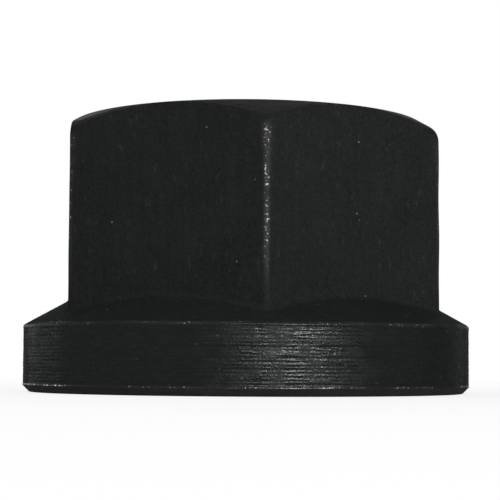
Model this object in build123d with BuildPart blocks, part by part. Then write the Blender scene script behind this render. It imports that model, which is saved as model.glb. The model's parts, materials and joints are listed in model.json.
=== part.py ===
"""Hexagon collar nut for an M18 thread: one piece of steel, forged, turned and tapped.

Millimetres, +Z up. The origin is the centre of the bearing face, on the axis of the thread.
Two corners of the hexagon point along -Y and +Y, so that two of its flats face -X and +X.
"""

import os
from math import cos, radians, tan

from build123d import *

# The thread is M18 x 2.5. Its crests lie on the minor diameter of a metric internal thread,
# 5/8 of the height of the thread's triangle inside the major diameter on each side.
major_diameter = 18.0
thread_pitch = 2.5
triangle_height = thread_pitch * cos(radians(30))
minor_diameter = major_diameter - 2 * 5 / 8 * triangle_height
countersink_diameter = 19.0
countersink_angle = 120.0

# The hexagon takes a 27 mm spanner.
across_flats = 27.0
corner_radius = 0.6
total_height = 20.5

# The crown is the cone that a lathe takes off the six corners at the top.
crown_diameter = 26.8
crown_angle = 30.0

# The collar is a turned disc, and a cone leads from its rim up to the flats.
collar_diameter = 34.0
rim_height = 5.0
cone_angle = 29.0
bottom_chamfer = 0.5
rim_radius = 0.2
neck_radius = 0.7

# Values worked out from the sizes above. The cutting cone of the crown reaches well past the corners.
collar_radius = collar_diameter / 2
crown_radius = crown_diameter / 2
crown_reach = across_flats
crown_drop = (crown_reach - crown_radius) * tan(radians(crown_angle))
cone_top = rim_height + collar_radius * tan(radians(cone_angle))
countersink_depth = (countersink_diameter - minor_diameter) / 2 / tan(radians(countersink_angle / 2))
bore_length = total_height - 2 * countersink_depth

with BuildPart() as collar_nut:
    # The hexagon is a prism, and the forging die leaves its six upright edges slightly round.
    with BuildSketch(Plane.XY):
        RegularPolygon(across_flats / 2, 6, major_radius=False, rotation=30)
    extrude(amount=total_height)
    fillet(collar_nut.edges().filter_by(Axis.Z), radius=corner_radius)

    # The crown is what the prism has in common with a cone that falls away outside the top face.
    with BuildSketch(Plane.XZ):
        with BuildLine():
            Polyline(
                (0, 0),
                (crown_reach, 0),
                (crown_reach, total_height - crown_drop),
                (crown_radius, total_height),
                (0, total_height),
                close=True,
            )
        make_face()
    revolve(axis=Axis.Z, mode=Mode.INTERSECT)

    # The collar and its cone are one turned shape, which the hexagon stands in.
    with BuildSketch(Plane.XZ):
        with BuildLine():
            Polyline(
                (0, 0),
                (collar_radius - bottom_chamfer, 0),
                (collar_radius, bottom_chamfer),
                (collar_radius, rim_height),
                (0, cone_top),
                close=True,
            )
        make_face()
    revolve(axis=Axis.Z)

    # A small radius runs round the foot of the hexagon, where the flats meet the cone.
    cone_face = collar_nut.faces().filter_by(GeomType.CONE).sort_by(SortBy.AREA)[-1]
    rim_edges = collar_nut.edges().filter_by(GeomType.CIRCLE).filter_by(
        lambda edge: abs(edge.radius - collar_radius) < 0.01 and abs(edge.center().Z - rim_height) < 0.01
    )
    foot_edges = cone_face.edges().filter_by(lambda edge: edge.center().Z > rim_height + corner_radius)
    fillet(foot_edges, radius=neck_radius)
    fillet(rim_edges, radius=rim_radius)

    # The hole is drilled to the thread's minor diameter and countersunk from both ends.
    with Locations((0, 0, total_height), Location((0, 0, 0), (180, 0, 0))):
        CounterSinkHole(minor_diameter / 2, countersink_diameter / 2, depth=total_height,
                        counter_sink_angle=countersink_angle)

collar_nut.part.label = "collar_nut"

os.makedirs("parts", exist_ok=True)
export_step(collar_nut.part, "parts/collar_nut.step")

print(f"minor diameter {minor_diameter:.3f}, plain bore {bore_length:.3f} long")
print(f"volume {collar_nut.part.volume:.0f} mm3, box {collar_nut.part.bounding_box().size}")
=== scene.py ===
# %% [markdown]
# # A hexagon collar nut in blackened steel
#
# The object is one piece of steel. A bar is forged into a hexagon with a thick disc at its foot, a lathe
# turns the disc, the crown and both end faces, and a tap cuts the thread. The last step is a bath that
# turns the surface to black oxide. The exact solid of the nut is loaded here as a fixed frame. The mesh
# built below has the same size and place, and adds what the solid leaves out: the helical thread, the
# tool's feed marks round the collar, slightly uneven forged flats and the finish of each zone.

# %% Load the frame
import json
from math import atan2, cos, pi, radians, sin, sqrt, tan

import bmesh
import bpy
import numpy as np
from mathutils import Matrix, Vector


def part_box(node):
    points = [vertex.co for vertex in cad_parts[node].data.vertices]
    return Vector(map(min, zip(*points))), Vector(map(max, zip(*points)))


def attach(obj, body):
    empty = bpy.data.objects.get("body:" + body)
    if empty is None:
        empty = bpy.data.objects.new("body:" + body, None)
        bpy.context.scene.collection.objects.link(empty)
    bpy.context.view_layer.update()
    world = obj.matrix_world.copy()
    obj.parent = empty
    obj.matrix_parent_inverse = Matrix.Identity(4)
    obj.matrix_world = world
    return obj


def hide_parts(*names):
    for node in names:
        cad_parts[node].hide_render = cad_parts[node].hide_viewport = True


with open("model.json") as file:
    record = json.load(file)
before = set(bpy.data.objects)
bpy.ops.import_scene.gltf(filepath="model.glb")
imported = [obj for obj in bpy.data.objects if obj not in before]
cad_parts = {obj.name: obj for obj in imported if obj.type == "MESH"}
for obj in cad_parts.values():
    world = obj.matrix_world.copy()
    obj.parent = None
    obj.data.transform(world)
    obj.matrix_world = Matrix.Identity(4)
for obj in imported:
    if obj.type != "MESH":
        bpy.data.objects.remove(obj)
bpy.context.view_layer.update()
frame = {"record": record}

bpy.context.scene.view_settings.view_transform = "Standard"

# %% [markdown]
# ## Sizes
#
# All sizes are in millimetres, as on a workshop drawing, and become metres only when a mesh is made. The
# height and the collar come from the frame, and the radius of the hole from its thread mount. The thread
# is a standard metric one, so its depth follows from its pitch: the sides of the groove stand at 60
# degrees to each other, and the groove is 5/8 of the full triangle's height deep.

# %% Sizes in millimetres
MM = 0.001
MICRON = 0.001

high_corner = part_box("collar_nut")[1]
total_height = high_corner.z / MM
collar_radius = high_corner.x / MM
thread_mount = next(m for m in frame["record"]["mounts"] if m["name"] == "thread")
minor_radius = thread_mount["dims"]["r_mm"]

thread_pitch = 2.5
flank_angle = radians(30)
thread_depth = 5 / 8 * thread_pitch * cos(flank_angle)
countersink_radius = 9.5
countersink_slope = tan(radians(90 - 120 / 2))

apothem = 13.5
hexagon_edge_radius = 0.6
crown_radius = 13.4
crown_angle = radians(30)
crown_slope = tan(crown_angle)

rim_height = 5.0
cone_angle = radians(29)
cone_slope = tan(cone_angle)
bottom_chamfer = 0.5
foot_radius = 0.7

print(f"height {total_height:.2f}, collar radius {collar_radius:.2f}, thread depth {thread_depth:.3f}")

# %% [markdown]
# ## The columns of the grid
#
# The whole nut is one grid. Its columns go round the axis and its rows run along the section, so every
# column is a section of the nut at one angle. A hexagon needs few columns on its flats and many on its
# six edges, which are round with a radius of only 0.6 mm. The angle is called the turn and is counted
# from the corner that points along -Y.

# %% Columns round the axis
SIXTH = pi / 3
front = -pi / 2
edge_centre = (apothem - hexagon_edge_radius) / cos(SIXTH / 2)
edge_half_angle = atan2(
    hexagon_edge_radius * sin(SIXTH / 2),
    edge_centre + hexagon_edge_radius * cos(SIXTH / 2),
)
edge_columns = 8
flat_columns = 15


def columns_round_the_axis():
    """Turns from a corner to the middle of a flat: even steps over the rounded edge, then steps that grow
    evenly towards the middle. Mirroring them and repeating them six times goes once round."""
    over_edge = np.linspace(0, edge_half_angle, edge_columns)
    growth = np.linspace(0, 1, flat_columns + 1)[1:] ** 1.35
    over_flat = edge_half_angle + (SIXTH / 2 - edge_half_angle) * growth
    half = np.concatenate([over_edge, over_flat])
    one_corner = np.concatenate([-half[:0:-1], half[:-1]])
    return np.sort(np.concatenate([one_corner + SIXTH * k for k in range(6)]) % (2 * pi))


turns = columns_round_the_axis()
columns = len(turns)
print("columns:", columns)

# %% [markdown]
# ## The hexagon's outline
#
# Seen from above, the distance from the axis to a flat grows as one over a cosine from the middle of the
# flat to the corner. Near the corner a circle takes over. Forging and tumbling leave no surface quite
# true, so a few long waves of some hundredths of a millimetre are added. They are sums of cosines whose
# number of waves round the nut is whole, so that the surface closes.

# %% Outline of the hexagon and its unevenness
def hexagon_radius(turn):
    """Radius of the hexagon at each turn: apothem / cos(angle from the middle of the flat), and on the
    rounded edge the far crossing of the ray with the edge's circle."""
    from_corner = (turn + SIXTH / 2) % SIXTH - SIXTH / 2
    flat = apothem / np.cos(SIXTH / 2 - np.abs(from_corner))
    across = edge_centre * np.sin(from_corner)
    inside = np.maximum(hexagon_edge_radius**2 - across**2, 0)
    rounded = edge_centre * np.cos(from_corner) + np.sqrt(inside)
    return np.where(np.abs(from_corner) < edge_half_angle, rounded, flat)


def uneven(turn, height, seed, longest, shortest, waves=14):
    """A field of unit size made of cosines in turn and height, each with a wavelength between longest and
    shortest millimetres and a direction and phase drawn at random."""
    draw = np.random.default_rng(seed)
    length = np.exp(draw.uniform(np.log(shortest), np.log(longest), waves))
    heading = draw.uniform(0, pi, waves)
    round_count = np.round(2 * pi * apothem / length * np.cos(heading))
    climb = 2 * pi / length * np.sin(heading)
    phase = draw.uniform(0, 2 * pi, waves)
    total = 0
    for count, rise, start in zip(round_count, climb, phase):
        total = total + np.cos(count * turn + rise * height + start)
    return total / sqrt(waves / 2)


hexagon = hexagon_radius(turns)
print(f"hexagon radius {hexagon.min():.2f} to {hexagon.max():.2f}")

# %% [markdown]
# ## The outer section
#
# At each turn the section is a line with eight corners: the countersink's mouth, the edge of the crown,
# the top of the flat, the foot of the flat, the rim of the collar, the chamfer's two edges and the lower
# countersink's mouth. No real corner is sharp, so each is replaced by a small curve between two points
# on its sides. All columns are worked out at once, as arrays with one entry for each column.

# %% Corners of the section
def at_all_turns(radius, height):
    """One corner of the section for all columns, as radius and height."""
    return np.stack(np.broadcast_arrays(radius, height, turns)[:2], axis=-1).astype(float)


rim_sway = 0.035 * uneven(turns, 0, seed=4, longest=30, shortest=5)
least_crown = 0.04
crown_edge = np.minimum(crown_radius, hexagon - least_crown)
flat_top = total_height - (hexagon - crown_edge) * crown_slope
flat_foot = rim_height + rim_sway + (collar_radius - hexagon) * cone_slope
mouth_lip = 0.15
mouth_drop = mouth_lip * countersink_slope

corners = [
    at_all_turns(countersink_radius - mouth_lip, total_height - mouth_drop),
    at_all_turns(countersink_radius, total_height),
    at_all_turns(crown_edge, total_height),
    at_all_turns(hexagon, flat_top),
    at_all_turns(hexagon, flat_foot),
    at_all_turns(collar_radius, rim_height + rim_sway),
    at_all_turns(collar_radius, bottom_chamfer),
    at_all_turns(collar_radius - bottom_chamfer, 0),
    at_all_turns(countersink_radius, 0),
    at_all_turns(countersink_radius - mouth_lip, mouth_drop),
]
crown_length = (hexagon - crown_edge) / cos(crown_angle)
crown_reach = (0.03 + 0.32 * crown_length)[:, None]
foot_reach = foot_radius * tan((pi / 2 - cone_angle) / 2)
curve_reach = [0, 0.06, 0.10, crown_reach, foot_reach, 0.14, 0.04, 0.08, 0.06, 0]
curve_rows = [0, 2, 3, 8, 7, 4, 3, 3, 2, 0]
curve_rub = [0, 0.3, 0.3, 0.0, 0, 0.6, 0.15, 0.1, 0.3, 0]

# %% [markdown]
# ## Feed marks on the collar
#
# A lathe tool moves a little further along with each turn of the work, and its round nose leaves a
# shallow trough each time. Two troughs meet in a low ridge. The troughs here are 0.25 mm wide and about
# 10 microns deep, which is what a nose radius of 0.8 mm gives. No two are alike: the depth changes from
# trough to trough and along each one, and the tool's slow shake lets the whole wall wave in and out by a
# few microns, so that some lines catch a lamp and their neighbours don't. Under the last trough the steel
# widens to a lip of about one hundredth, which the chamfering tool pushed up. It leans back by 6 degrees,
# towards the lamp, and so it is the brightest line on the collar.

# %% Feed marks
feed = 0.25
nose_radius = 0.8
trough_depth = feed**2 / 8 / nose_radius
rows_per_trough = 5
plain_above = 0.28
plain_below = 0.16
wall_top = rim_height - plain_above
wall_bottom = bottom_chamfer + plain_below
troughs = round((wall_top - wall_bottom) / feed)
lip = 0.012
lip_height = 0.11
shake = 0.006
shake_stretch = 7
trough_stretch = 10


def trough(height, turn):
    """How far the surface lies inside the lip's radius: a parabola across each trough, whose depth changes
    from trough to trough and along it, and the slow wave of the whole wall."""
    across = (wall_top - height) / (wall_top - wall_bottom) * troughs
    number = np.clip(np.floor(across), 0, troughs - 1).astype(int)
    place = 2 * (across - number) - 1
    deeper = np.random.default_rng(11).uniform(0.4, 1.6, troughs)[number]
    chatter = 1 + 0.5 * uneven(turn, trough_stretch * number, seed=12, longest=8, shortest=2)
    chatter = np.clip(chatter, 0.1, None)
    wave = shake * (1 + uneven(turn, shake_stretch * height, seed=13, longest=16, shortest=5) / 2)
    return trough_depth * deeper * chatter * np.clip(1 - place**2, 0, 1) + np.clip(wave, 0, None)


def wall_rows():
    """Rows of the collar's wall from the top down, five to a trough, then three that widen evenly to the
    lip's full radius. With each row comes how much it is rubbed."""
    heights = np.linspace(wall_top, wall_bottom, troughs * rows_per_trough + 1)
    rows = [at_all_turns(collar_radius - lip - trough(height, turns), height) for height in heights]
    widening = np.array([0.1, 0.5, 0.9])
    rows += [at_all_turns(collar_radius - lip * (1 - w), wall_bottom - lip_height * w) for w in widening]
    return rows, [0.0] * len(heights) + [0.8] * len(widening)


print(f"{troughs} troughs, {trough_depth / MICRON:.0f} microns deep")

# %% [markdown]
# ## Rows of the outer surface
#
# Rows are laid along the section from the upper mouth to the lower one. Between two corners the rows are
# straight, with one row very close to each curve: smooth shading then doesn't smear the curve over the
# flat. Each row also notes its zone, which chooses its material, and how much it is rubbed bright. On the
# bottom chamfer's straight run that rub is painted bounce light.

# %% Outer surface
FACED, FORGED, TURNED, TAPPED = range(4)
flat_fractions = np.concatenate([[0.004], np.linspace(0.03, 0.97, 36), [0.996]])
straight_fractions = [
    [0.5],
    [0.01, 0.25, 0.5, 0.75, 0.99],
    [0.08, 0.5, 0.92],
    flat_fractions,
    [0.02, 0.2, 0.4, 0.6, 0.8, 0.98],
    [],
    [0.1, 0.5, 0.9],
    [0.01, 0.2, 0.4, 0.6, 0.8, 0.99],
    [0.5],
]
zones = [TAPPED, FACED, FACED, FORGED, FORGED, TURNED, FACED, FACED, TAPPED]
# Painted bounce light: the 0.1 on the bottom chamfer's straight run lightens that downward face as light
# from the floor would. The 0.15 on the crown is rub.
straight_rub_and_painted_bounce = [0, 0, 0.15, 0, 0, 0, 0.1, 0, 0]


def outer_surface():
    """Rows of (radius, height) for all columns. A curve at a corner is a parabola between the points that
    lie its reach before and after the corner. A straight run is split at the given fractions."""
    rows, zone, curve = [corners[0]], [], [0.0]
    leave = corners[0]
    for number in range(1, len(corners)):
        corner, before = corners[number], corners[number - 1]
        here = zones[number - 1]
        last = number == len(corners) - 1
        back = before - corner
        back_length = np.linalg.norm(back, axis=-1, keepdims=True)
        arrive = corner + back * np.minimum(curve_reach[number] / back_length, 0.45)
        if here == TURNED and number == 6:
            wall, wall_rub = wall_rows()
            rows += wall
            zone += [here] * len(wall)
            curve += wall_rub
        for fraction in straight_fractions[number - 1]:
            rows.append(leave + (arrive - leave) * fraction)
            zone.append(here)
            curve.append(straight_rub_and_painted_bounce[number - 1])
        rows.append(arrive)
        zone.append(here)
        curve.append(0.6 * curve_rub[number])
        if last:
            break
        onward = corners[number + 1] - corner
        onward_length = np.linalg.norm(onward, axis=-1, keepdims=True)
        leave = corner + onward * np.minimum(curve_reach[number] / onward_length, 0.45)
        for t in np.arange(1, curve_rows[number] + 1) / curve_rows[number]:
            rows.append((1 - t) ** 2 * arrive + 2 * t * (1 - t) * corner + t**2 * leave)
            zone.append(here if t < 0.6 else zones[number])
            curve.append((1.0 if t < 1 else 0.6) * curve_rub[number])
    return np.array(rows), np.array(zone), np.array(curve)


outer, outer_zone, outer_curve = outer_surface()
print("outer rows:", len(outer))

# %% [markdown]
# ## Uneven flats
#
# The waves push the forged flats in and out by one or two hundredths of a millimetre, and fade to
# nothing at the crown and at the rim, because the lathe cuts those true.

# %% Unevenness of the forged zone
flat_wave = 0.015


def forge(rows):
    """Moves each point of the forged zone along its radius by the uneven field. The weight is a smooth
    step up below the crown and down again towards the collar's rim."""
    radius, height = rows[..., 0], rows[..., 1]
    below_crown = np.clip((total_height - 0.6 - height) / 1.5, 0, 1)
    inside_rim = np.clip((collar_radius - radius) / 1.2, 0, 1)
    above_rim = np.clip((height - rim_height - 0.05) / 0.4, 0, 1)
    weight = np.prod([w * w * (3 - 2 * w) for w in (below_crown, inside_rim, above_rim)], axis=0)
    field = uneven(turns, height, seed=7, longest=14, shortest=3.5)
    rows = rows.copy()
    rows[..., 0] += flat_wave * weight * field
    return rows


outer = forge(outer)

# %% [markdown]
# ## The thread
#
# A thread drawn as rings would be wrong: it is one long spiral. So the rows of this part of the grid
# climb by one pitch for each turn round the axis, and after a full turn each row meets the row one pitch
# further up. The rows then follow the crest and the groove exactly. Where the spiral would leave the
# nut, its rows are held at the mouth of the countersink. The surface is the wider of the thread and
# the countersink's cone. The crests lie on the bore of the solid, and the groove is cut into its wall.

# %% Thread
crest_half = thread_pitch / 8
root_half = thread_pitch / 16
half_pitch = thread_pitch / 2
flank_end = half_pitch - root_half
edge_softness = 0.05
half_steps = np.array([0, 0.24, crest_half, 0.385, 0.70, 1.02, flank_end, 1.16, half_pitch])
pitch_steps = np.concatenate([half_steps, thread_pitch - half_steps[-2:0:-1]])


def softened(value):
    """The larger of value and nothing, with a rounded bend: half of value plus the root of its square
    plus the softness squared."""
    return (value + np.sqrt(value**2 + edge_softness**2)) / 2


def thread_radius(height, turn):
    """Radius of the thread: the minor radius on the crest, then a 30 degree flank down to the root."""
    along = height - thread_pitch * turn / (2 * pi)
    from_crest = np.abs((along + half_pitch) % thread_pitch - half_pitch)
    rise = (from_crest - crest_half) / tan(flank_angle)
    return minor_radius + softened(rise) - softened(rise - thread_depth)


def mouth_radius(height):
    """Radius of the countersinks' cones at a height, whichever end is nearer."""
    from_end = np.minimum(height, total_height - height)
    return countersink_radius - from_end / countersink_slope


def thread_surface():
    """Rows of (radius, height) that climb by one pitch a turn, held between the two mouths."""
    pitches = np.arange(-1, int(total_height / thread_pitch) + 2)
    starts = (thread_pitch * pitches[:, None] + pitch_steps).ravel()
    height = starts[:, None] + thread_pitch * turns / (2 * pi)
    height = np.clip(height, mouth_drop, total_height - mouth_drop)
    thread, mouth = thread_radius(height, turns), mouth_radius(height)
    radius = thread + softened(mouth - thread)
    at_mouth = (height <= mouth_drop) | (height >= total_height - mouth_drop)
    radius = np.where(at_mouth, countersink_radius - mouth_lip, radius)
    return np.stack([radius, height], axis=-1)


bore = thread_surface()
print("thread rows:", len(bore), "of which", len(pitch_steps), "to a pitch")

# %% [markdown]
# ## One closed mesh
#
# Both grids become one mesh. Points that fall on the same place, as at the two mouths, are merged, and
# the faces that this leaves with no area disappear. A closed mesh has exactly two faces on each edge.

# %% Build the mesh
def to_points(rows):
    """Turns radius and height at each column into X, Y and Z in metres."""
    angle = turns + front
    x = rows[..., 0] * np.cos(angle)
    y = rows[..., 0] * np.sin(angle)
    return np.stack([x, y, rows[..., 1]], axis=-1).reshape(-1, 3) * MM


def ring_faces(row_count, step, first):
    """Four-sided faces between neighbouring rows and columns. The last column joins the first one, step
    rows further up."""
    row, column = np.meshgrid(np.arange(row_count - 1 - step), np.arange(columns), indexing="ij")
    wraps = column == columns - 1
    beside = np.where(wraps, 0, column + 1)
    lift = np.where(wraps, step, 0)
    faces = [row, row + 1, row + 1 + lift, row + lift]
    across = [column, column, beside, beside]
    return np.stack([r * columns + c for r, c in zip(faces, across)], axis=-1).reshape(-1, 4) + first


def closed_mesh(name, points, faces, face_zone, rubbed_and_painted_light):
    """Puts the arrays into a mesh and merges the points that coincide."""
    mesh = bpy.data.meshes.new(name)
    mesh.vertices.add(len(points))
    mesh.vertices.foreach_set("co", points.astype(np.float32).ravel())
    mesh.loops.add(faces.size)
    mesh.loops.foreach_set("vertex_index", faces.astype(np.int32).ravel())
    mesh.polygons.add(len(faces))
    mesh.polygons.foreach_set("loop_start", np.arange(0, faces.size, 4, dtype=np.int32))
    mesh.polygons.foreach_set("material_index", face_zone.astype(np.int32))
    mesh.update(calc_edges=True)
    layer = mesh.attributes.new("rubbed_and_painted_light", "FLOAT", "POINT")
    layer.data.foreach_set("value", rubbed_and_painted_light.astype(np.float32))
    work = bmesh.new()
    work.from_mesh(mesh)
    bmesh.ops.remove_doubles(work, verts=work.verts, dist=merge_distance)
    open_edges = sum(not edge.is_manifold for edge in work.edges)
    volume = work.calc_volume()
    work.to_mesh(mesh)
    work.free()
    mesh.shade_smooth()
    mesh.calc_loop_triangles()
    print(f"{len(mesh.loop_triangles)} triangles, {open_edges} open edges, {volume / MM**3:.0f} mm3")
    return mesh


wide_from, wide_over = 15.0, 3.0
under_crown, crown_fade = 1.65, 0.6
over_foot, foot_fade = 7.2, 4.0


def edge_rub_and_front_highlight(radius, height):
    """How much the six upright edges are rubbed, with a painted highlight on the front: a band that is a
    little wider near the crown, starts a millimetre under it and fades to nothing at the foot. The front
    corner, towards the camera and the key lamp, is the most rubbed, and the share falls to half of that at
    the back. That extra on the front corner is painted highlight: a lighter colour and more sparks."""
    from_corner = np.abs((turns + SIXTH / 2) % SIXTH - SIXTH / 2)
    wide = 0.8 + 0.5 * np.clip((height - wide_from) / wide_over, 0, 1)
    band = np.exp(-((from_corner / edge_half_angle / wide) ** 4))
    # Painted highlight: this share gives the front corner, towards the camera and the key lamp, twice the
    # rub of the back corner, so it is lighter and sparkles more.
    share = 0.5 + 0.125 * (1 + np.cos(turns)) ** 2
    below_crown = np.clip((total_height - under_crown - height) / crown_fade, 0, 1)
    above_foot = np.clip((height - over_foot) / foot_fade, 0, 1)
    patchy = np.clip(0.85 + 0.15 * uneven(turns, height, seed=23, longest=5, shortest=0.8), 0, 1)
    return band * share * below_crown * above_foot**0.5 * patchy * (radius > crown_radius)


merge_distance = 0.2 * MICRON * MM
points = np.concatenate([to_points(outer), to_points(bore)])
outer_faces = ring_faces(len(outer), 0, 0)
bore_faces = ring_faces(len(bore), len(pitch_steps), outer.shape[0] * columns)
faces = np.concatenate([outer_faces, bore_faces])
face_zone = np.concatenate([np.repeat(outer_zone, columns), np.full(len(bore_faces), TAPPED)])

along_rims = np.clip(0.8 + 0.4 * uneven(turns, 0, seed=31, longest=9, shortest=2), 0, 1.5)
# This rub is real wear on the rims and upright edges, plus a painted highlight on the front corner and
# painted bounce light on the bottom chamfer.
outer_rubbed_and_painted_light = np.maximum(outer_curve[:, None] * along_rims, edge_rub_and_front_highlight(outer[..., 0], outer[..., 1]))
rubbed_and_painted_light = np.concatenate([outer_rubbed_and_painted_light.ravel(), np.zeros(bore.shape[0] * columns)])

nut_mesh = closed_mesh("blackened_collar_nut", points, faces, face_zone, rubbed_and_painted_light)
nut = bpy.data.objects.new("blackened_collar_nut", nut_mesh)
bpy.context.scene.collection.objects.link(nut)

# %% [markdown]
# ## What all the finishes share
#
# Black oxide is magnetite, which a hot salt bath grows out of the steel itself, one or two microns thick.
# So it isn't paint, and it hides no mark of the tool. It is a black mineral with a little of a metal's
# shine, so each finish is partly metallic: less where a blasted surface is full of fine pits, more where a
# tool has smoothed it. A pitted black skin doesn't turn into a mirror at a glancing look, as a polished one
# does. It has no clear layer, so the Specular IOR Level is 0, and the Specular Tint, which sets a metal's
# reflection at 82 degrees, is a middle grey. Wherever a tool has cut, the metallic share also falls
# towards a glancing look, where one sees the rims of the pits and not the smooth metal between them. The
# patterns read the object's own coordinates in millimetres, so that each size below is a real one.

# %% Colour and node helpers
def linear(hex_colour):
    """Turns an sRGB colour such as #1c1f1f into the linear values that a shader takes."""
    srgb = np.array([int(hex_colour[i : i + 2], 16) for i in (1, 3, 5)]) / 255
    values = np.where(srgb <= 0.04045, srgb / 12.92, ((srgb + 0.055) / 1.055) ** 2.4)
    return (*values, 1.0)


def add(tree, kind, inputs, **settings):
    """Adds a node. inputs gives each socket, by name or number, a value or the output to link to it."""
    node = tree.nodes.new("ShaderNode" + kind)
    for name, value in settings.items():
        setattr(node, name, value)
    for socket, value in inputs.items():
        if isinstance(value, bpy.types.NodeSocket):
            tree.links.new(value, node.inputs[socket])
        else:
            node.inputs[socket].default_value = value
    return node


def start_material(name, glancing):
    """A material whose shader has the reflection of a black skin, and the place on the nut in millimetres.
    glancing is the colour of the reflection at 82 degrees."""
    material = bpy.data.materials.new(name)
    material.use_nodes = True
    tree = material.node_tree
    shader = tree.nodes["Principled BSDF"]
    shader.inputs["Specular IOR Level"].default_value = 0.0
    shader.inputs["Specular Tint"].default_value = linear(glancing)
    place = add(tree, "TexCoord", {}).outputs["Object"]
    place = add(tree, "Mapping", {"Vector": place, "Scale": (1 / MM,) * 3}).outputs["Vector"]
    return material, tree, shader, place


def fading_mirror(tree, metal):
    """A metallic share that falls to nearly nothing at a glancing look, where the pits hide the shine."""
    facing = add(tree, "LayerWeight", {}).outputs["Facing"]
    return add(
        tree,
        "MapRange",
        {"Value": facing, "From Min": 0.45, "From Max": 0.8, "To Min": metal, "To Max": 0.06},
    ).outputs["Result"]


# The sockets of a colour Mix node: the factor, the two colours and the result.
FACTOR, FIRST, SECOND, RESULT = 0, 6, 7, 2

# %% [markdown]
# ## Rubbed edges
#
# Where an edge is rubbed, the oxide gets thinner and a little lighter, and the tops of its grain show bare
# steel. From some distance that is a soft pale band with fine sparks in it. The mesh says how much each
# place is rubbed, more on the hexagon's upright edges, and in patches a few millimetres long on the round
# rims. The same number also carries painted light: the front corner, towards the camera and the key lamp,
# gets twice the rub of the back corner as a painted highlight, and the bottom chamfer gets a little as
# painted bounce light. A fine noise chooses the sparks: the more rubbed the place, the more of them.

# %% Thin oxide and sparks of steel
def wear_and_painted_light(tree, shader, place, oxide, oxide_metal, spark_size, extra=0.0):
    """Links the colour and the metallic share of an oxide with its rubbed edges, and with the painted
    highlight on the front corner and the painted bounce light on the bottom chamfer that the rub also
    holds: both make the colour lighter and add sparks. extra is a mask of other places where bare steel
    shows. Returns how much each place is rubbed, painted light included."""
    rubbed_and_painted_light = add(tree, "Attribute", {}, attribute_name="rubbed_and_painted_light").outputs["Fac"]
    thin = add(
        tree, "Mix", {FACTOR: rubbed_and_painted_light, FIRST: oxide, SECOND: linear("#2d2e2d")}, data_type="RGBA"
    ).outputs[RESULT]
    grain = add(tree, "TexNoise", {"Vector": place, "Scale": 1 / spark_size, "Detail": 2.0}).outputs["Fac"]
    spark = add(tree, "Math", {0: rubbed_and_painted_light, 1: 0.22, 2: grain}, operation="MULTIPLY_ADD").outputs[0]
    spark = add(tree, "MapRange", {"Value": spark, "From Min": 0.76, "From Max": 0.9}).outputs["Result"]
    steel = add(tree, "Math", {0: spark, 1: extra}, operation="MAXIMUM").outputs[0]
    colour = add(
        tree, "Mix", {FACTOR: steel, FIRST: thin, SECOND: linear("#8b8c89")}, data_type="RGBA"
    ).outputs[RESULT]
    tree.links.new(colour, shader.inputs["Base Color"])
    half_bare = add(tree, "Math", {0: rubbed_and_painted_light, 1: 0.3, 2: steel}, operation="MULTIPLY_ADD").outputs[0]
    metal = add(
        tree, "MapRange", {"Value": half_bare, "To Min": oxide_metal, "To Max": 1.0}
    ).outputs["Result"]
    tree.links.new(metal, shader.inputs["Metallic"])
    return rubbed_and_painted_light


# %% [markdown]
# ## Forged flats and cone
#
# These surfaces came from the die, with scale that was blasted off before the bath. To the eye they are
# nearly even and almost black, with a soft mottle of a few millimetres, a grain finer than half a
# millimetre, faint upright scuffs about a millimetre long, and here and there a bright nick, a tenth of a
# millimetre wide, from another nut.

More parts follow.
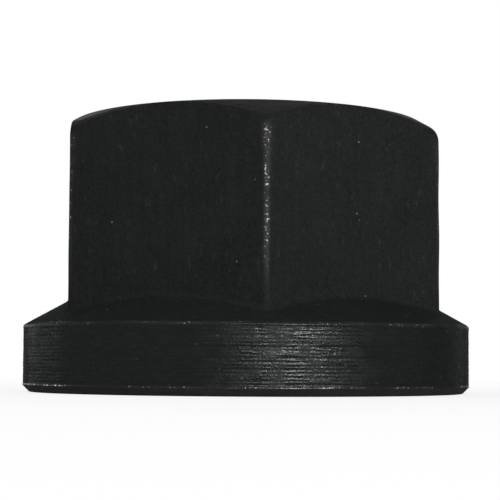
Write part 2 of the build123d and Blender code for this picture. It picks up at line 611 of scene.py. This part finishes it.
# %% Forged black oxide
def forged_black_oxide():
    material, tree, shader, place = start_material("forged_black_oxide", "#b4b4b4")
    mottle = add(tree, "TexNoise", {"Vector": place, "Scale": 1 / 3.5, "Detail": 3.0}).outputs["Fac"]
    grain = add(tree, "TexNoise", {"Vector": place, "Scale": 1 / 0.2, "Detail": 3.0}).outputs["Fac"]
    drawn = add(tree, "Mapping", {"Vector": place, "Scale": (1 / 0.5, 1 / 0.5, 1 / 5)}).outputs["Vector"]
    streak = add(tree, "TexNoise", {"Vector": drawn, "Scale": 1.0, "Detail": 2.0}).outputs["Fac"]
    both = add(tree, "Math", {0: mottle, 1: 0.3, 2: grain}, operation="MULTIPLY_ADD").outputs[0]
    three = add(tree, "Math", {0: streak, 1: 0.3, 2: both}, operation="MULTIPLY_ADD").outputs[0]
    shade = add(tree, "MapRange", {"Value": three, "From Min": 0.55, "From Max": 1.05}).outputs["Result"]
    oxide = add(
        tree, "Mix", {FACTOR: shade, FIRST: linear("#181a19"), SECOND: linear("#222423")}, data_type="RGBA"
    ).outputs[RESULT]
    cells = add(tree, "TexVoronoi", {"Vector": place, "Scale": 1 / 1.7}).outputs["Distance"]
    nick = add(
        tree, "MapRange", {"Value": cells, "From Min": 0.045, "From Max": 0.02, "To Max": 0.6}
    ).outputs["Result"]
    upright = add(
        tree, "Mapping", {"Vector": place, "Scale": (1 / 0.4, 1 / 0.4, 1 / 0.9)}
    ).outputs["Vector"]
    scuff = add(tree, "TexNoise", {"Vector": upright, "Scale": 1.0, "Detail": 4.0}).outputs["Fac"]
    scuff = add(
        tree, "MapRange", {"Value": scuff, "From Min": 0.62, "From Max": 0.8, "To Max": 0.05}
    ).outputs["Result"]
    marks = add(tree, "Math", {0: nick, 1: scuff}, operation="MAXIMUM").outputs[0]
    rubbed_and_painted_light = wear_and_painted_light(tree, shader, place, oxide, oxide_metal=0.1, spark_size=0.18, extra=marks)
    rough = add(
        tree,
        "MapRange",
        {"Value": three, "From Min": 0.5, "From Max": 1.1, "To Min": 0.42, "To Max": 0.58},
    )
    tree.links.new(rough.outputs["Result"], shader.inputs["Roughness"])
    coarser = add(tree, "Math", {0: rubbed_and_painted_light, 1: 4.0, 2: 1.0}, operation="MULTIPLY_ADD").outputs[0]
    facets = add(tree, "Math", {0: grain, 1: coarser}, operation="MULTIPLY").outputs[0]
    height = add(tree, "Math", {0: mottle, 1: 2.0, 2: facets}, operation="MULTIPLY_ADD").outputs[0]
    bump = add(tree, "Bump", {"Height": height, "Distance": 16 * MICRON * MM, "Strength": 1.0})
    tree.links.new(bump.outputs["Normal"], shader.inputs["Normal"])
    return material


# %% [markdown]
# ## The turned collar
#
# The feed marks themselves are in the mesh. What the shader adds is finer: scratches that run round the
# collar, a tenth of a millimetre high and a millimetre or two long, and a grain of small facets where the
# tool tore the steel. They change the slope and hardly the colour, so they sparkle where a lamp is
# mirrored and are lost elsewhere. The oxide grew smoother in some patches than in others, and a few small
# domes of it, a millimetre or so apart, each catch the lamp as a dot. Stretching a noise round the axis
# needs no angle: along the wall X and Y change slowly and Z quickly, so a noise that is squeezed in Z
# alone already runs round.

# %% Turned black oxide
def turned_black_oxide():
    material, tree, shader, place = start_material("turned_black_oxide", "#b8b8b8")
    long_way = add(
        tree, "Mapping", {"Vector": place, "Scale": (1 / 1.0, 1 / 1.0, 1 / 0.12)}
    ).outputs["Vector"]
    scratch = add(tree, "TexNoise", {"Vector": long_way, "Scale": 1.0, "Detail": 3.0}).outputs["Fac"]
    grain = add(tree, "TexNoise", {"Vector": place, "Scale": 1 / 0.16, "Detail": 3.0}).outputs["Fac"]
    both = add(tree, "Math", {0: scratch, 1: grain}, operation="ADD").outputs[0]
    shade = add(tree, "MapRange", {"Value": both, "From Min": 0.7, "From Max": 1.3}).outputs["Result"]
    oxide = add(
        tree, "Mix", {FACTOR: shade, FIRST: linear("#1b1d1c"), SECOND: linear("#222423")}, data_type="RGBA"
    ).outputs[RESULT]
    cells = add(tree, "TexVoronoi", {"Vector": place, "Scale": 1 / 1.0}).outputs["Distance"]
    dome = add(tree, "MapRange", {"Value": cells, "From Min": 0.14, "From Max": 0.0}).outputs["Result"]
    tip = add(tree, "Math", {0: dome, 1: 0.07}, operation="MULTIPLY").outputs[0]
    shine = fading_mirror(tree, 0.92)
    rubbed_and_painted_light = wear_and_painted_light(tree, shader, place, oxide, oxide_metal=shine, spark_size=0.2, extra=tip)
    patches = add(tree, "TexNoise", {"Vector": place, "Scale": 1 / 1.2, "Detail": 1.0}).outputs["Fac"]
    gloss = add(tree, "Math", {0: patches, 1: 0.6, 2: grain}, operation="MULTIPLY_ADD").outputs[0]
    dull = add(
        tree,
        "MapRange",
        {"Value": gloss, "From Min": 0.64, "From Max": 0.88, "To Min": 0.52, "To Max": 0.12},
    ).outputs["Result"]
    smoother = add(
        tree, "MapRange", {"Value": rubbed_and_painted_light, "From Max": 0.6, "To Min": 1.0, "To Max": 0.33}
    ).outputs["Result"]
    rough = add(tree, "Math", {0: dull, 1: smoother}, operation="MULTIPLY").outputs[0]
    tree.links.new(rough, shader.inputs["Roughness"])
    fine = add(tree, "Math", {0: scratch, 1: 1.2, 2: grain}, operation="MULTIPLY_ADD").outputs[0]
    height = add(tree, "Math", {0: dome, 1: 1.2, 2: fine}, operation="MULTIPLY_ADD").outputs[0]
    bump = add(tree, "Bump", {"Height": height, "Distance": 14 * MICRON * MM, "Strength": 1.0})
    tree.links.new(bump.outputs["Normal"], shader.inputs["Normal"])
    return material


# %% [markdown]
# ## The faced ends
#
# The crown, the top, the bearing face and the chamfer beside it are turned too, but across their face, so
# the marks are rings.
# The distance from the axis is squeezed instead of the height, and slow X and Y break the rings up.

# %% Faced black oxide
def faced_black_oxide():
    material, tree, shader, place = start_material("faced_black_oxide", "#c8c8c8")
    flat = add(tree, "VectorMath", {0: place, 1: (1.0, 1.0, 0.0)}, operation="MULTIPLY").outputs["Vector"]
    reach = add(tree, "VectorMath", {0: flat}, operation="LENGTH").outputs["Value"]
    fine = add(tree, "Math", {0: reach, 1: 1 / 0.12}, operation="MULTIPLY").outputs[0]
    parts = add(tree, "SeparateXYZ", {"Vector": flat})
    slow = [
        add(tree, "Math", {0: parts.outputs[i], 1: 1 / 2.5}, operation="MULTIPLY").outputs[0]
        for i in (0, 1)
    ]
    rings = add(tree, "CombineXYZ", {"X": slow[0], "Y": slow[1], "Z": fine}).outputs["Vector"]
    scratch = add(tree, "TexNoise", {"Vector": rings, "Scale": 1.0, "Detail": 3.0}).outputs["Fac"]
    grain = add(tree, "TexNoise", {"Vector": place, "Scale": 1 / 0.2, "Detail": 2.0}).outputs["Fac"]
    both = add(tree, "Math", {0: scratch, 1: grain}, operation="ADD").outputs[0]
    shade = add(tree, "MapRange", {"Value": both, "From Min": 0.75, "From Max": 1.25}).outputs["Result"]
    oxide = add(
        tree, "Mix", {FACTOR: shade, FIRST: linear("#1f201f"), SECOND: linear("#292a29")}, data_type="RGBA"
    ).outputs[RESULT]
    wear_and_painted_light(tree, shader, place, oxide, oxide_metal=fading_mirror(tree, 0.25), spark_size=0.3)
    shader.inputs["Roughness"].default_value = 0.38
    bump = add(tree, "Bump", {"Height": scratch, "Distance": 12 * MICRON * MM, "Strength": 1.0})
    tree.links.new(bump.outputs["Normal"], shader.inputs["Normal"])
    return material


# %% [markdown]
# ## The tapped thread
#
# The tap leaves a smooth, slightly oily groove with fine lines along the spiral.

# %% Tapped black oxide
def tapped_black_oxide():
    material, tree, shader, place = start_material("tapped_black_oxide", "#b4b4b4")
    long_way = add(tree, "Mapping", {"Vector": place, "Scale": (1 / 2, 1 / 2, 1 / 0.1)}).outputs["Vector"]
    lines = add(tree, "TexNoise", {"Vector": long_way, "Scale": 1.0, "Detail": 2.0}).outputs["Fac"]
    shade = add(tree, "MapRange", {"Value": lines, "From Min": 0.35, "From Max": 0.65}).outputs["Result"]
    colour = add(
        tree, "Mix", {FACTOR: shade, FIRST: linear("#1b1d1c"), SECOND: linear("#2e302f")}, data_type="RGBA"
    ).outputs[RESULT]
    tree.links.new(colour, shader.inputs["Base Color"])
    tree.links.new(fading_mirror(tree, 0.7), shader.inputs["Metallic"])
    shader.inputs["Roughness"].default_value = 0.3
    bump = add(tree, "Bump", {"Height": lines, "Distance": 6 * MICRON * MM, "Strength": 1.0})
    tree.links.new(bump.outputs["Normal"], shader.inputs["Normal"])
    return material


# %% Put the finishes on the nut
for finish in (faced_black_oxide, forged_black_oxide, turned_black_oxide, tapped_black_oxide):
    nut_mesh.materials.append(finish())

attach(nut, "root")
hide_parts("collar_nut")
print("materials:", [material.name for material in nut_mesh.materials])

# %% [markdown]
# ## The floor and the white surroundings
#
# The nut stands on a plain white floor in white surroundings, as in a light tent. The camera and the
# metal's reflections see the world at a strength of 1, which is white. Near the nut the floor is a white
# glow and white card in one, so that it stays pale and still keeps the nut's shadow. Further out the glow
# takes over, and the floor runs into the white behind it without an edge. It lies a hundredth of a
# millimetre under the nut and is clear from below, so that the bearing face can be looked at too.

# %% Floor and world
floor_radius = 3.0
floor_gap = 10 * MICRON * MM


def seen_directly(tree):
    """1 for a ray from the camera, from a mirror-like surface or through glass, and 0 for any other."""
    path = add(tree, "LightPath", {})
    camera_ray, glossy_ray = path.outputs["Is Camera Ray"], path.outputs["Is Glossy Ray"]
    either = add(tree, "Math", {0: camera_ray, 1: glossy_ray}, operation="MAXIMUM").outputs[0]
    return add(
        tree, "Math", {0: either, 1: path.outputs["Is Transmission Ray"]}, operation="MAXIMUM"
    ).outputs[0]


def white_floor():
    """A disc of white card under the nut."""
    corner = np.linspace(0, 2 * pi, 64, endpoint=False)
    rim = floor_radius * np.stack([np.cos(corner), np.sin(corner), np.zeros(64)], axis=-1)
    rim[:, 2] = -floor_gap
    mesh = bpy.data.meshes.new("floor")
    mesh.from_pydata(rim.tolist(), [], [list(range(64))])
    material = bpy.data.materials.new("white_card")
    material.use_nodes = True
    tree = material.node_tree
    tree.nodes.remove(tree.nodes["Principled BSDF"])
    card = add(tree, "BsdfDiffuse", {"Color": linear("#f4f4f4")}).outputs[0]
    glow = add(tree, "Emission", {"Color": (1, 1, 1, 1), "Strength": 1.0}).outputs[0]
    place = add(tree, "TexCoord", {}).outputs["Object"]
    reach = add(tree, "VectorMath", {0: place}, operation="LENGTH").outputs["Value"]
    share = add(
        tree, "MapRange", {"Value": reach, "From Min": 0.02, "From Max": 0.12, "To Min": 0.82}
    ).outputs["Result"]
    share = add(tree, "Math", {0: seen_directly(tree), 1: share}, operation="MULTIPLY").outputs[0]
    from_above = add(tree, "MixShader", {0: share, 1: card, 2: glow}).outputs[0]
    clear = add(tree, "BsdfTransparent", {}).outputs[0]
    below = add(tree, "NewGeometry", {}).outputs["Backfacing"]
    surface = add(tree, "MixShader", {0: below, 1: from_above, 2: clear}).outputs[0]
    tree.links.new(surface, tree.nodes["Material Output"].inputs["Surface"])
    mesh.materials.append(material)
    floor = bpy.data.objects.new("floor", mesh)
    bpy.context.scene.collection.objects.link(floor)
    return floor


white_floor()

world = bpy.data.worlds.new("light_tent")
world.use_nodes = True
bpy.context.scene.world = world
tent_level = 0.35
level = add(
    world.node_tree,
    "Math",
    {0: seen_directly(world.node_tree), 1: 1 - tent_level, 2: tent_level},
    operation="MULTIPLY_ADD",
).outputs[0]
background = world.node_tree.nodes["Background"]
background.inputs["Color"].default_value = (1, 1, 1, 1)
world.node_tree.links.new(level, background.inputs["Strength"])
print("floor and world are in place")

# %% [markdown]
# ## Camera
#
# The picture was taken from low down, almost level with the bearing face, and tilted up a little, so the
# upright edges lean together. The camera stands 122 mm from the axis and 5 degrees to the left of the
# front corner. Its lens and place were found by fitting the nut's outline to the picture.

# %% Camera
camera_distance = 122.4
camera_height = 2.29
camera_aside = 0.26
turned_left = 0.0887
tilted_up = 0.0706
rolled = 0.0058

camera_data = bpy.data.cameras.new("camera")
camera_data.sensor_width = 36.0
camera_data.lens = 114.3
camera_data.clip_start = 0.01
camera = bpy.data.objects.new("camera", camera_data)
bpy.context.scene.collection.objects.link(camera)
aside = Matrix.Rotation(-turned_left, 4, "Z")
stand = aside @ (Vector((camera_aside, -camera_distance, camera_height)) * MM)
upright = Matrix.Rotation(pi / 2 + tilted_up, 4, "X") @ Matrix.Rotation(rolled, 4, "Z")
camera.matrix_world = Matrix.Translation(stand) @ aside @ upright
bpy.context.scene.camera = camera
print("camera at", [round(v / MM, 1) for v in stand], "mm")

# %% [markdown]
# ## Lamps
#
# A low, wide softbox stands right of the camera. The collar mirrors it in its bright patch and the front
# corner in its line of sparks. A softbox is brighter in its middle, so it is two lamps in one place, a
# narrow one and a wide, weaker one. A lamp behind on the left lights the left end of the collar, one on the
# upper left the cone and the crown, and one behind the flats that the camera doesn't see.

# %% Lamps
def softbox(name, azimuth, elevation, distance, width, height, watts):
    """A lamp that looks at the middle of the nut. Azimuth is counted from the camera to the right, in
    degrees, and the distance, width and height are in millimetres."""
    lamp = bpy.data.lights.new(name, "AREA")
    lamp.shape = "ELLIPSE"
    lamp.size = width * MM
    lamp.size_y = height * MM
    lamp.energy = watts
    box = bpy.data.objects.new(name, lamp)
    bpy.context.scene.collection.objects.link(box)
    a, e = radians(azimuth) - turned_left, radians(elevation)
    outward = Vector((sin(a) * cos(e), -cos(a) * cos(e), sin(e)))
    middle = Vector((0, 0, total_height / 2 * MM))
    box.location = middle + outward * distance * MM
    box.rotation_euler = outward.to_track_quat("Z", "Y").to_euler()


softbox("key", azimuth=23, elevation=9, distance=250, width=170, height=9, watts=0.35)
softbox("key_wings", azimuth=23, elevation=9, distance=250, width=320, height=14, watts=0.18)
softbox("left_rim", azimuth=-130, elevation=3, distance=300, width=260, height=100, watts=0.2)
softbox("upper_left", azimuth=-90, elevation=60, distance=300, width=200, height=200, watts=0.19)
softbox("back", azimuth=180, elevation=27, distance=300, width=200, height=150, watts=0.36)
print("lamps:", [lamp.name for lamp in bpy.data.lights])
